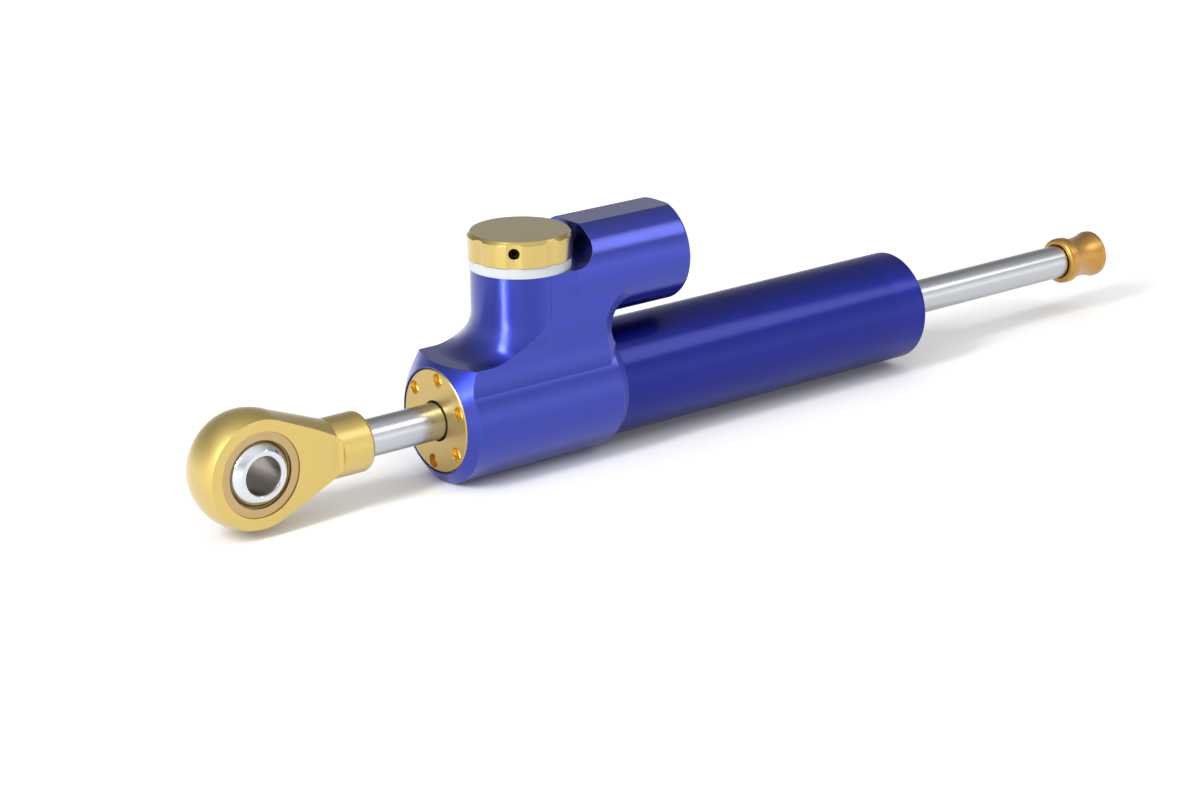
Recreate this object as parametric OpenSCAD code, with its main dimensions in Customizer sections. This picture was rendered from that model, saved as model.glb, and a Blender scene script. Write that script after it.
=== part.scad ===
// Steering damper with a through rod, an adjuster neck and an overhanging reservoir.
// X runs along the rod, from the rod eye to the end cap, and Z points up through the adjuster knob.
// The origin is the middle of the plain tube that a clamp grips, on the rod's axis.

/* [Tube] */
// Outer diameter of the tube, which a clamp grips
tube_d = 25; // [23:0.1:28]
// Inner diameter of the tube
tube_bore_d = 21.6; // [21.4:0.1:22]
// Length of plain tube between the head and the end chamfer
land_l = 88.2; // [84:0.1:110]
// Chamfer at the free end of the tube
tube_chamfer = 0.6; // [0.3:0.1:1]
// Diameter of the tube's spigot in the head
spigot_d = 24; // [23.6:0.1:24.4]
// Depth of the head's socket for that spigot
socket_l = 14; // [10:0.1:15]
// Thickness of the face seal at the bottom of the socket
face_seal_d = 1.1; // [0.8:0.05:1.2]

/* [Liner] */
// Outer diameter of the working cylinder
liner_d = 20; // [19.6:0.1:20.4]
// Bore of the working cylinder
liner_bore_d = 18; // [17:0.1:18.4]
// Diameter of the port under the adjuster neck
port_d = 4; // [3:0.1:5]
// Diameter of the return ports at the far end
return_port_d = 2; // [1:0.1:2.4]
// Number of return ports
return_ports = 4; // [2:1:6]

/* [Head] */
// Length of the head along the rod
head_l = 41.9; // [40:0.1:48]
// Diameter of the head's barrel
barrel_d = 27.7; // [27:0.1:30]
// Diameter of the front face, where the nose bevel starts
nose_d = 23.2; // [23:0.1:25]
// Length of the nose bevel on the barrel
nose_l = 1.7; // [1:0.1:3]
// Length of the rear bevel, which runs down to the tube
skirt_l = 2.35; // [1:0.05:4]
// Half width between the milled side flats
web_half_w = 10.75; // [10.7:0.05:11]
// Depth of the hollow along each side flat
groove_depth = 0.4; // [0.1:0.05:0.6]
// Height of the deepest line of that hollow, which sweeps out into the barrel below it
groove_z = 13.4; // [13:0.1:15]
// Distance from the rear of the head to the neck's axis
neck_back = 19.1; // [17:0.1:20]
// Diameter of the adjuster neck
neck_d = 21.3; // [20:0.1:21.4]
// Height of the top of the neck
neck_top = 29.6; // [28:0.1:32]
// Radius of the sweep from the neck to the shelf in front of it
neck_sweep = 8; // [5:0.1:9]
// Height of the shelf in front of the neck
shelf_z = 12.5; // [12.3:0.1:13.2]
// Radius of the round end of the gap below the reservoir
gap_end_r = 6.2; // [5.6:0.1:6.4]
// Width of the bevel round that end, along the flat
gap_bevel = 2.7; // [1:0.1:3]
// Depth of that bevel into the flat
gap_bevel_depth = 1.3; // [0.5:0.1:1.5]
// How far the centre of that round end lies behind the head
gap_ahead = 4; // [3.4:0.1:4.4]
// How far that centre lies above the middle of the gap
gap_lift = 0.6; // [0.3:0.1:1]

/* [Reservoir] */
// Outer diameter of the reservoir
res_d = 22.5; // [22:0.1:23]
// Height of the reservoir's axis
res_z = 26.8; // [26.5:0.1:28]
// Length of the reservoir behind the head
res_overhang = 18.8; // [16:0.1:30]
// Height of the milled flat on top
res_flat_z = 37.25; // [36:0.05:38]
// Rounding of the rear edge
res_round = 1; // [0.3:0.1:1.5]
// Bore of the reservoir
res_bore_d = 18.5; // [17.5:0.1:18.8]
// Depth of that bore from the rear end
res_depth = 21.2; // [20:0.1:22]
// Distance from the neck's axis to the wall behind the knob
wall_gap = 12.5; // [12.2:0.1:13.5]
// Radius at the foot of that wall
wall_sweep = 5.5; // [3:0.1:6]
// Thickness of the end plug
plug_l = 4; // [3.4:0.1:4.4]
// Length of the floating piston
float_l = 6; // [5:0.1:6.6]
// Room in front of the floating piston at rest
float_room = 4; // [3.6:0.1:4.4]
// Wire diameter of the compensator spring
comp_wire_d = 1.1; // [0.8:0.1:1.3]
// Turns of the compensator spring
comp_turns = 3.5; // [2:0.5:4]

/* [Glands] */
// Diameter of the front gland
gland_d = 22.7; // [22.4:0.05:22.9]
// Length of a gland's flange
gland_l = 13; // [12.6:0.1:14]
// Length of the front gland's nose inside the liner
front_nose_l = 4; // [2:0.1:4.5]
// Length of the rear gland's nose inside the liner
rear_nose_l = 2; // [1:0.1:3]
// How far the rear gland sits inside the tube
rear_recess = 0.7; // [0.3:0.1:2]
// Distance from a gland's rim to the middle of its pin-spanner holes
pin_edge = 2.15; // [1.9:0.05:2.4]
// Diameter of a pin-spanner hole
pin_hole_d = 3; // [2:0.1:3.2]
// Depth of a pin-spanner hole, to the drill point
pin_hole_l = 1.4; // [1:0.1:3]
// Turn of the hole circle, from the side
pin_angle = 37; // [0:1:59]
// Diameter of the grooves for wiper and seal
seal_groove_d = 12.8; // [12:0.1:13.4]
// Wall of the rod bush
bush_wall = 0.95; // [0.8:0.05:1.2]

/* [Rod] */
// Diameter of the rod
rod_d = 8; // [7.6:0.1:8.4]
// Rod showing between the eye's collar and the front gland
eye_gap = 19; // [15:0.1:30]
// Rod showing between the tube and the end cap
cap_gap = 56.6; // [40:0.1:60]
// Room left at the end of each stroke
stop_gap = 0.5; // [0.2:0.1:2]
// Length of the piston
piston_l = 10; // [8:0.1:10.4]
// Width of the piston ring
piston_ring_w = 4; // [2:0.1:5]
// Thickness of the piston ring
piston_ring_t = 1.35; // [1:0.05:2]
// Thickness of a piston clip
clip_t = 1; // [0.6:0.1:1.2]

/* [Rod eye] */
// Diameter of the eye's ball-turned head
eye_d = 25; // [24:0.1:28]
// Thickness between the milled flats
eye_w = 10; // [9.6:0.1:11]
// Distance from the bearing to the end of the collar
eye_reach = 26.75; // [25:0.05:32]
// Diameter of the collar
collar_d = 12.9; // [12:0.1:14]
// Rounding at the collar's end
collar_round = 1.2; // [0.5:0.1:2]
// Taper of the shank on each side, in degrees
eye_taper = 21; // [18:0.5:24]
// Distance from the bearing to the end of the flats
flat_reach = 19.05; // [18.5:0.05:21]
// Radius where the flats run out
flat_sweep = 1.5; // [1.5:0.1:3]
// Length of the rod's stud in the collar
stud_l = 11; // [8:0.1:12]
// Diameter of the studs at the rod's ends
stud_d = 6; // [5:0.1:6.4]
// Outer diameter of the bearing race
race_d = 18; // [17.6:0.1:19]
// Width of the bearing race
race_w = 9.4; // [9:0.1:10]
// Depth of the relief at the race's mouth
race_mouth_l = 0.9; // [0.5:0.1:1.2]
// Diameter of the bearing ball
ball_d = 15.88; // [15.4:0.01:16.2]
// Width of the bearing ball
ball_w = 12; // [11:0.1:12.6]
// Bore of the bearing ball
bolt_d = 8; // [6:0.1:8.4]
// Chamfer of that bore
bolt_chamfer = 0.3; // [0.1:0.05:0.5]

/* [End cap] */
// Length of the end cap
cap_l = 12.1; // [12:0.1:18]
// Diameter of the bead at the near end
bead_d = 11.1; // [10.6:0.05:12]
// Rounding of the bead's mouth
bead_round = 1.1; // [0.4:0.1:1.2]
// Rounding of the bead towards the waist
bead_back_round = 0.5; // [0.2:0.1:0.8]
// Length of the bead
bead_l = 2.9; // [2.4:0.1:4]
// Diameter of the waist
waist_d = 9.6; // [9.4:0.05:10]
// Distance from the mouth to the narrowest place of the waist
waist_at = 6.3; // [5.5:0.1:7]
// Radius of the waist's hollow
waist_r = 14; // [12:0.5:24]
// Diameter of the far end
cap_end_d = 11.1; // [10.6:0.05:12]
// Depth that the rod sinks into the cap
cap_recess = 1.6; // [1:0.1:3]
// Room round the rod there
cap_recess_gap = 0.3; // [0.1:0.05:0.4]
// Length of the rod's stud in the cap
cap_stud_l = 8; // [6:0.1:9]

/* [Adjuster] */
// Diameter of the knob
knob_d = 22.3; // [21:0.1:22.6]
// Height of the knob
knob_h = 5.6; // [5:0.1:7]
// Number of flutes
flutes = 8; // [6:1:12]
// Radius of a flute
flute_r = 6; // [4:0.1:10]
// Depth of a flute
flute_depth = 0.35; // [0.1:0.05:0.5]
// Chamfer at the knob's top
knob_chamfer = 0.75; // [0.3:0.05:1]
// Diameter of the grub screw
grub_d = 2.3; // [2:0.1:2.6]
// How deep the grub screw sits below the knob's side
grub_sunk = 1.5; // [0.5:0.1:2.5]
// Across flats of the grub screw's socket
grub_socket = 1.3; // [0.9:0.1:1.4]
// Outer diameter of the washer
washer_d = 21.7; // [21:0.1:22]
// Thickness of the washer
washer_t = 2.2; // [1.8:0.1:2.6]
// Diameter of the valve cartridge
cartridge_d = 12.9; // [12.4:0.1:13.2]
// Length of the cartridge below the neck's top
cartridge_l = 11.6; // [11.4:0.1:12.4]
// Diameter of the cartridge's flange
flange_d = 14.6; // [14.2:0.1:14.8]
// Thickness of that flange
flange_t = 1.6; // [1.4:0.1:1.7]
// Diameter of the spindle
spindle_d = 8; // [7.6:0.1:8.2]
// Diameter of the spindle's stem in the knob
stem_d = 6; // [5:0.1:6.4]
// How far the stem reaches into the knob
stem_l = 4; // [3.4:0.1:4.2]
// Diameter of the needle's shank
needle_d = 3; // [2.6:0.1:3.2]
// Diameter of the needle's tip
tip_d = 2; // [1.6:0.1:2.2]
// Across flats of the needle's guide
guide_w = 5; // [4.6:0.1:5.2]
// Bore of the valve seat
seat_bore_d = 2.4; // [2.3:0.1:2.6]
// Diameter of the valve seat's shank
seat_d = 6; // [5.6:0.1:6.2]
// Height of the floor that the valve seat stands on
valve_floor_z = 14.4; // [14:0.1:14.8]
// Number of clicks in a turn
clicks = 24; // [12:4:36]
// Diameter of the detent ball
detent_d = 1.4; // [1.2:0.1:1.5]
// Radius of the detent's circle
detent_r = 5.25; // [5.2:0.05:5.35]

/* [Fits] */
// Radial room in a seat that is screwed or pressed together
seat_fit = 0.03; // [0.02:0.005:0.05]
// Radial room of a piece that slides or turns
run_fit = 0.05; // [0.03:0.005:0.08]
// Room between pieces that must not rub
clear_fit = 0.15; // [0.1:0.05:0.2]

/* [Hidden] */
$fn = 96;
over = 1;
far = 60;
valve_fn = 48;
tube_r = tube_d / 2;
cavity_r = tube_bore_d / 2;
liner_r = liner_d / 2;
liner_bore_r = liner_bore_d / 2;
barrel_r = barrel_d / 2;
nose_r = nose_d / 2;
nose_slope = (barrel_r - nose_r) / nose_l;
shelf_ease = 1.1;
neck_r = neck_d / 2;
res_r = res_d / 2;
res_bore_r = res_bore_d / 2;
gland_r = gland_d / 2;
rod_r = rod_d / 2;
stud_r = stud_d / 2;
eye_r = eye_d / 2;
ball_r = ball_d / 2;
knob_r = knob_d / 2;
cartridge_r = cartridge_d / 2;
spindle_r = spindle_d / 2;
stem_r = stem_d / 2;

// Places along the rod
x_rear = -land_l / 2;
x_land_end = land_l / 2;
x_tube_end = x_land_end + tube_chamfer;
x_front = x_rear - head_l;
x_neck = x_rear - neck_back;
x_socket = x_rear - socket_l;
x_liner = x_front + gland_l;
x_rear_face = x_tube_end - rear_recess;
x_liner_end = x_rear_face - gland_l;
x_collar = x_front - eye_gap;
x_eye = x_collar - eye_reach;
x_cap = x_tube_end + cap_gap;
travel_out = cap_gap - stop_gap;
travel_in = eye_gap - stop_gap;
x_piston = (x_neck + port_d / 2 + travel_out + x_liner_end - rear_nose_l - travel_in) / 2;
x_res_end = x_rear + res_overhang;
x_res_floor = x_res_end - res_depth;
x_wall = x_neck + wall_gap;
x_gap = x_rear + gap_ahead;
gap_z = (tube_r + res_z - res_r) / 2 + gap_lift;
res_blend_l = 4;
bevel_over = 0.05;
bevel_rise = 1.2;
x_blend = x_wall - wall_sweep - res_blend_l;

// The hollow of the side flats, an arc that all but touches the barrel
hollow_half = web_half_w - groove_depth;
groove_ease = 1.02;
groove_r = groove_ease * (pow(groove_z, 2) / (barrel_r - hollow_half) - barrel_r - hollow_half) / 2;
foot_half = barrel_r * cos(atan2(groove_z, hollow_half + groove_r));

// Places inside a gland, from its face
wiper_at = 1.6;
wiper_w = 2.8;
seal_at = 5.4;
seal_w = 2.8;
bush_at = 9.2;
gland_land_gap = 0.4;
groove_side = 0.1;
bush_end_gap = 0.5;
rim_chamfer = 0.45;
drill_half_angle = 59;
rear_gland_r = cavity_r - seat_fit;
bush_r = rod_r + run_fit + bush_wall;
o_cord = 0.6;
o_groove_w = 1.5;
gland_groove_at = 10.4;

// Places up the neck
washer_top = neck_top + washer_t;
knob_gap = 0.05;
knob_z = washer_top + knob_gap;
well_gap = 0.3;
well_r = knob_r + well_gap;
stem_top = knob_z + stem_l;
grub_z = knob_z + knob_h * 0.56;
grub_turn = 227;
cartridge_z = neck_top - cartridge_l;
flange_z = neck_top + flange_t;
lip_t = 1;
spindle_top = flange_z - lip_t - run_fit;
guide_l = 3.1;
clip_z = cartridge_z + guide_l + 0.1;
clip_h = 0.8;
clip_bite = 0.5;
spindle_z = clip_z + clip_h + run_fit;
spindle_groove_z = spindle_top - 3.6;
cartridge_groove_z = cartridge_z + 7.2;
seat_flange_r = seat_d / 2 + 0.8;
seat_flange_t = 1.2;
seat_nose_room = 0.3;
tip_sunk = 1.6;
tip_z = valve_floor_z + seat_flange_t - tip_sunk;
bypass_d = 2.2;
bypass_off = cartridge_r - bypass_d / 2 - 0.4;
passage_d = 2.4;
passage_z = cartridge_z + guide_l / 2;
detent_seat_z = flange_z - 3.6;
track_depth = 0.5;
detent_z = knob_z + track_depth - run_fit - detent_d / 2;
detent_wire_r = 0.12;
dimple_depth = 0.2;
track_half_w = detent_d / 2 + 0.2;

// Places in the reservoir
circlip_t = 0.9;
circlip_bite = 0.5;
circlip_edge = 0.6;
x_circlip = x_res_end - circlip_edge - circlip_t;
x_plug = x_circlip - plug_l;
x_float = x_res_floor + float_room;
x_spring = x_float + float_l;
spring_seat_gap = 0.05;
float_skirt_wall = 1.4;
float_skirt_l = 1.2;
comp_mean_r = res_bore_r - float_skirt_wall - comp_wire_d;

// The rod eye's outline, whose taper starts just inside the ball-turned head
taper_sunk = 0.03;
taper_x = eye_r * sin(eye_taper);
taper_r = eye_r * cos(eye_taper) - taper_sunk;
shank_x = (eye_r - collar_d / 2 * cos(eye_taper)) / sin(eye_taper);

blue = [0.20, 0.23, 0.64];
gold = [0.80, 0.67, 0.36];
bronze = [0.62, 0.51, 0.32];
amber = [0.72, 0.50, 0.16];
chrome = [0.82, 0.83, 0.85];
steel = [0.62, 0.63, 0.65];
rubber = [0.08, 0.08, 0.08];
white = [0.92, 0.93, 0.91];
brass = [0.74, 0.62, 0.34];

// Shared shapes

module rod_x(r, x0, x1) {
    translate([x0, 0, 0]) rotate([0, 90, 0]) cylinder(r = r, h = x1 - x0);
}

module ring_x(r0, r1, x0, x1) {
    difference() {
        rod_x(r1, x0, x1);
        rod_x(r0, x0 - over, x1 + over);
    }
}

// Turns a profile of [radius, place] points round the rod's axis
module turned_x() {
    rotate([0, 90, 0]) rotate_extrude() children();
}

// Turns a profile of [radius, height] points round the neck's axis
module turned_neck() {
    translate([x_neck, 0, 0]) rotate_extrude() children();
}

module bar_z(r, z0, z1) {
    translate([x_neck, 0, z0]) cylinder(r = r, h = z1 - z0);
}

module o_ring_x(r_outer, x) {
    turned_x() translate([r_outer - o_cord, x]) circle(o_cord, $fn = valve_fn);
}

module o_groove_x(r_outer, x) {
    ring_x(r_outer - 2 * o_cord - run_fit, r_outer + over, x - o_groove_w / 2, x + o_groove_w / 2);
}

// The corner left by a cutter of radius r, in the corner at the origin
module corner_sweep(r) {
    difference() {
        square(r);
        translate([r, r]) circle(r);
    }
}

// An open ring with a gap, for a spring clip
module spring_clip(r0, r1, t, gap) {
    difference() {
        cylinder(r = r1, h = t);
        translate([0, 0, -over]) cylinder(r = r0, h = t + 2 * over);
        translate([0, -gap / 2, -over]) cube([r1 + over, gap, t + 2 * over]);
    }
}

function coil_point(mean_r, wire_r, rise, turns, t, phi) =
    let (
        a = 360 * turns * t,
        lean = atan2(rise, 2 * PI * mean_r * turns),
        out = [cos(a), sin(a), 0],
        up = [sin(lean) * sin(a), -sin(lean) * cos(a), cos(lean)]
    )
    mean_r * out + [0, 0, rise * t] + wire_r * (cos(phi) * out + sin(phi) * up);

// A round-wire coil spring of the given length over its wire, standing on the origin
module coil(mean_r, wire_r, length, turns, steps, sides) {
    rise = length - 2 * wire_r;
    rings = ceil(steps * turns);
    points = [
        for (i = [0:rings]) for (j = [0:sides - 1])
            coil_point(mean_r, wire_r, rise, turns, i / rings, 360 * j / sides)
    ];
    walls = [
        for (i = [0:rings - 1]) for (j = [0:sides - 1])
            let (
                a = i * sides + j,
                b = i * sides + (j + 1) % sides
            )
            each [[a, a + sides, b], [b, a + sides, b + sides]]
    ];
    start_cap = [for (j = [1:sides - 2]) [0, j, j + 1]];
    last = rings * sides;
    end_cap = [for (j = [1:sides - 2]) [last, last + j + 1, last + j]];
    translate([0, 0, wire_r]) polyhedron(points, concat(walls, start_cap, end_cap));
}

// Head

// The room inside the nose bevel, which is carried on over the shelf and opens ahead of the neck
module nose_cone() {
    reach_r = neck_top + web_half_w;
    shelf_r = shelf_ease * sqrt(pow(web_half_w, 2) + pow(shelf_z, 2));
    x_open = x_front + (shelf_r - nose_r) / nose_slope;
    turned_x() polygon([
        [0, x_front],
        [nose_r, x_front],
        [shelf_r, x_open],
        [reach_r, x_open],
        [reach_r, x_gap + over],
        [0, x_gap + over]
    ]);
}

module web_profile() {
    difference() {
        union() {
            translate([-web_half_w, 0]) square([2 * web_half_w, neck_top]);
            translate([-foot_half, 0]) square([2 * foot_half, groove_z]);
        }
        for (side = [-1, 1])
            translate([side * (hollow_half + groove_r), groove_z]) circle(groove_r);
    }
}

module gap_end() {
    bevel_h = gap_bevel_depth + 2 * over;
    mouth = gap_end_r + gap_bevel * bevel_h / gap_bevel_depth;
    translate([x_gap, 0, gap_z]) {
        rotate([90, 0, 0]) cylinder(r = gap_end_r, h = 2 * (web_half_w + over), center = true);
        for (side = [-1, 1])
            translate([0, side * (web_half_w - gap_bevel_depth), 0])
                rotate([-90 * side, 0, 0]) cylinder(r1 = gap_end_r, r2 = mouth, h = bevel_h);
    }
}

// What the rear bevel takes off the barrel and the foot of the web
module rear_bevel() {
    lip_r = barrel_r + bevel_over;
    lip_x = x_rear - skirt_l * (lip_r - tube_r) / (barrel_r - tube_r);
    turned_x() polygon([
        [0, x_rear],
        [tube_r, x_rear],
        [lip_r, lip_x],
        [lip_r + bevel_rise, x_rear],
        [lip_r + bevel_rise, x_gap + over],
        [0, x_gap + over]
    ]);
}

module head_web() {
    difference() {
        translate([x_front, 0, 0]) rotate([90, 0, 90]) linear_extrude(x_gap - x_front) web_profile();
        gap_end();
    }
}

module head_core() {
    difference() {
        intersection() {
            union() {
                rod_x(barrel_r, x_front, x_rear);
                head_web();
            }
            nose_cone();
        }
        rear_bevel();
    }
}

module reservoir_case() {
    translate([0, 0, res_z]) turned_x() union() {
        polygon([
            [0, x_blend],
            [web_half_w - clear_fit, x_blend],
            [res_r, x_blend + res_blend_l],
            [res_r, x_res_end - res_round],
            [0, x_res_end - res_round]
        ]);
        translate([0, x_res_end - 2 * res_round]) square([res_r - res_round, 2 * res_round]);
        translate([res_r - res_round, x_res_end - res_round]) circle(res_round);
    }
}

// What is cut away in front of the neck, down to the shelf
module neck_relief() {
    translate([x_neck, 0, 0]) rotate([0, 0, 90]) rotate_extrude(angle = 180)
        translate([neck_r, shelf_z]) difference() {
            square([head_l, neck_top]);
            corner_sweep(neck_sweep);
        }
}

module knob_pocket() {
    rotate([90, 0, 0]) linear_extrude(far, center = true) difference() {
        translate([x_wall - far, neck_top]) square(far);
        translate([x_wall, neck_top]) mirror([1, 0]) corner_sweep(wall_sweep);
    }
    bar_z(well_r, neck_top, neck_top + far);
}

module head_bores() {
    rod_x(gland_r + seat_fit, x_front - over, x_liner);
    rod_x(cavity_r, x_front, x_socket + over);
    rod_x(spigot_d / 2 + seat_fit, x_socket, x_rear + over);
    bar_z(cartridge_r + seat_fit, valve_floor_z, neck_top + over);
    bar_z(seat_d / 2 + seat_fit, 0, valve_floor_z + over);
    translate([-bypass_off, 0, 0]) bar_z(bypass_d / 2, 0, valve_floor_z + over);
    translate([0, 0, passage_z]) rod_x(passage_d / 2, x_neck, x_res_floor + over);
    translate([0, 0, res_z]) {
        rod_x(res_bore_r, x_res_floor, x_res_end + over);
        rod_x(res_bore_r + circlip_bite, x_circlip, x_circlip + circlip_t);
    }
}

module head_block() {
    color(blue) difference() {
        union() {
            head_core();
            reservoir_case();
        }
        neck_relief();
        knob_pocket();
        translate([x_blend - over, -res_r, res_flat_z]) cube([far, res_d, far]);
        head_bores();
    }
}

// Tube and liner

module cylinder_tube() {
    color(blue) turned_x() polygon([
        [cavity_r, x_socket + face_seal_d],
        [spigot_d / 2, x_socket + face_seal_d],
        [spigot_d / 2, x_rear],
        [tube_r, x_rear],
        [tube_r, x_land_end],
        [tube_r - tube_chamfer, x_tube_end],
        [cavity_r, x_tube_end]
    ]);
}

module tube_o_ring() {
    color(rubber) turned_x()
        translate([(cavity_r + spigot_d / 2) / 2, x_socket + face_seal_d / 2])
            circle(face_seal_d / 2, $fn = valve_fn);
}

module inner_liner() {
    x_ports = x_liner_end - rear_nose_l - return_port_d;
    color(steel) difference() {
        ring_x(liner_bore_r, liner_r, x_liner, x_liner_end);
        bar_z(port_d / 2, 0, far);
        for (i = [0:return_ports - 1])
            translate([x_ports, 0, 0])
                rotate([360 * i / return_ports, 0, 0])
                    cylinder(r = return_port_d / 2, h = far);
    }
}

// Glands, drawn with the face at the origin and the nose towards +X

module pin_hole() {
    r = pin_hole_d / 2;
    turned_x() polygon([
        [0, -over],
        [r, -over],
        [r, pin_hole_l],
        [0, pin_hole_l + r / tan(drill_half_angle)]
    ]);
}

module gland_body(r, nose_l_in) {
    land_r = rod_r + gland_land_gap;
    nose_r_in = liner_bore_r - seat_fit;
    end = gland_l + nose_l_in;
    difference() {
        turned_x() polygon([
            [0, 0],
            [r - rim_chamfer, 0],
            [r, rim_chamfer],
            [r, gland_l],
            [nose_r_in, gland_l],
            [nose_r_in, end],
            [0, end]
        ]);
        rod_x(land_r, -over, end + over);
        rod_x(seal_groove_d / 2, wiper_at, wiper_at + wiper_w);
        rod_x(seal_groove_d / 2, seal_at, seal_at + seal_w);
        rod_x(bush_r + seat_fit, bush_at, end + over);
        o_groove_x(r, gland_groove_at);
        for (i = [0:5])
            rotate([pin_angle + 60 * i, 0, 0])
                translate([0, r - pin_edge, 0]) pin_hole();
    }
}

module rod_bush(nose_l_in) {
    ring_x(rod_r + run_fit, bush_r, bush_at, gland_l + nose_l_in - bush_end_gap);
}

module rod_seal() {
    r0 = rod_r + run_fit;
    r1 = seal_groove_d / 2 - seat_fit;
    x0 = seal_at + groove_side;
    x1 = seal_at + seal_w - groove_side;
    lip = (r1 - r0) / 3;
    turned_x() polygon([
        [r0, x1],
        [r0 + lip, x1],
        [(r0 + r1) / 2, x0 + lip],
        [r1 - lip, x1],
        [r1, x1],
        [r1, x0],
        [r0 + lip, x0],
        [r0, x0 + lip]
    ]);
}

module rod_wiper() {
    r0 = rod_r + run_fit;
    r1 = seal_groove_d / 2 - seat_fit;
    x0 = wiper_at + groove_side;
    x1 = wiper_at + wiper_w - groove_side;
    lip = (r1 - r0) / 3;
    turned_x() polygon([
        [r0, x0 + lip / 2],
        [r0 + lip / 2, x0],
        [r1, x0],
        [r1, x1],
        [(r0 + r1) / 2, x1],
        [r0 + lip, x0 + lip]
    ]);
}

module at_front_gland() {
    translate([x_front, 0, 0]) children();
}

module at_rear_gland() {
    translate([x_rear_face, 0, 0]) mirror([1, 0, 0]) children();
}

module front_gland() {
    color(gold) at_front_gland() gland_body(gland_r, front_nose_l);
}

module front_gland_o_ring() {
    color(rubber) at_front_gland() o_ring_x(gland_r, gland_groove_at);
}

module front_rod_bush() {
    color(bronze) at_front_gland() rod_bush(front_nose_l);
}

module front_rod_seal() {
    color(rubber) at_front_gland() rod_seal();
}

module front_rod_wiper() {
    color(rubber) at_front_gland() rod_wiper();
}

module rear_gland() {
    color(gold) at_rear_gland() gland_body(rear_gland_r, rear_nose_l);
}

module rear_gland_o_ring() {
    color(rubber) at_rear_gland() o_ring_x(rear_gland_r, gland_groove_at);
}

module rear_rod_bush() {
    color(bronze) at_rear_gland() rod_bush(rear_nose_l);
}

module rear_rod_seal() {
    color(rubber) at_rear_gland() rod_seal();
}

module rear_rod_wiper() {
    color(rubber) at_rear_gland() rod_wiper();
}

// Reservoir pieces

module in_reservoir() {
    translate([0, 0, res_z]) children();
}

module reservoir_plug() {
    socket_w = 6;
    socket_l_in = 2.4;
    color(blue) in_reservoir() difference() {
        rod_x(res_bore_r - seat_fit, x_plug, x_circlip);
        o_groove_x(res_bore_r - seat_fit, x_plug + plug_l / 2);
        translate([x_circlip - socket_l_in, 0, 0]) rotate([0, 90, 0])
            cylinder(d = socket_w / cos(30), h = socket_l_in + over, $fn = 6);
    }
}

module reservoir_plug_o_ring() {
    color(rubber) in_reservoir() o_ring_x(res_bore_r - seat_fit, x_plug + plug_l / 2);
}

module reservoir_circlip() {
    ring_w = 1.8;
    color(steel) in_reservoir() translate([x_circlip, 0, 0]) rotate([0, 90, 0])
        spring_clip(res_bore_r - ring_w, res_bore_r + circlip_bite - run_fit, circlip_t, ring_w * 2);
}

module floating_piston() {
    r = res_bore_r - run_fit;
    color(gold) in_reservoir() difference() {
        rod_x(r, x_float, x_spring);
        o_groove_x(r, x_float + float_l / 3);
        rod_x(r - float_skirt_wall, x_spring - float_skirt_l, x_spring + over);
    }
}

module floating_piston_o_ring() {
    color(rubber) in_reservoir() o_ring_x(res_bore_r - run_fit, x_float + float_l / 3);
}

module compensator_spring() {
    x0 = x_spring - float_skirt_l + spring_seat_gap;
    color(steel) in_reservoir() translate([x0, 0, 0]) rotate([0, 90, 0])
        coil(comp_mean_r, comp_wire_d / 2, x_plug - spring_seat_gap - x0, comp_turns, 20, 8);
}

// Adjuster

module valve_cartridge() {
    color(steel) difference() {
        union() {
            bar_z(cartridge_r, cartridge_z, neck_top + over / 2);
            bar_z(flange_d / 2, neck_top, flange_z);
        }
        bar_z(spindle_r + run_fit, cartridge_z + guide_l, flange_z - lip_t);
        bar_z(stem_r + run_fit, cartridge_z + guide_l, flange_z + over);
        bar_z(spindle_r + clip_bite, clip_z, clip_z + clip_h);
        translate([x_neck, 0, cartridge_z - over])
            cylinder(d = (guide_w + 2 * clear_fit) / cos(30), h = guide_l + 2 * over, $fn = 6);
        turned_neck() translate([cartridge_r - 2 * o_cord - run_fit, cartridge_groove_z - o_groove_w / 2])
            square([cartridge_r, o_groove_w]);
        translate([detent_r, 0, 0]) bar_z(detent_d / 2 + run_fit, detent_seat_z, flange_z + over);
        translate([x_neck, 0, passage_z]) rotate([0, 90, 0])
            cylinder(r = passage_d / 4, h = far, center = true);
    }
}

module cartridge_o_ring() {
    color(rubber) turned_neck()
        translate([cartridge_r - o_cord, cartridge_groove_z]) circle(o_cord, $fn = valve_fn);
}

module valve_seat() {
    nose_z = liner_bore_r + clear_fit;
    body_z = liner_r + seat_nose_room;
    color(brass) difference() {
        union() {
            bar_z(seat_flange_r, valve_floor_z, valve_floor_z + seat_flange_t);
            bar_z(seat_d / 2, body_z, valve_floor_z + seat_flange_t / 2);
            bar_z(port_d / 2 - clear_fit, nose_z, body_z + over);
        }
        bar_z(seat_bore_d / 2, 0, far);
    }
}

module spindle_clip() {
    color(steel) translate([x_neck, 0, clip_z + run_fit / 2])
        spring_clip(guide_w / cos(30) / 2 + clear_fit, spindle_r + clip_bite - run_fit, clip_h - run_fit, 2);
}

module detent_ball() {
    color(steel) translate([x_neck + detent_r, 0, detent_z]) sphere(d = detent_d);
}

module detent_spring() {
    gap = 0.05;
    top = detent_z - sqrt(pow(detent_d / 2, 2) - pow(detent_d / 2 - 2 * detent_wire_r, 2));
    color(steel) translate([x_neck + detent_r, 0, detent_seat_z + gap])
        coil(detent_d / 2 - 2 * detent_wire_r, detent_wire_r, top - detent_seat_z - 6 * gap, 4, 12, 6);
}

module knob_washer() {
    color(white) difference() {
        bar_z(washer_d / 2, neck_top, washer_top);
        bar_z(flange_d / 2 + clear_fit, neck_top - over, washer_top + over);
    }
}

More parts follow.
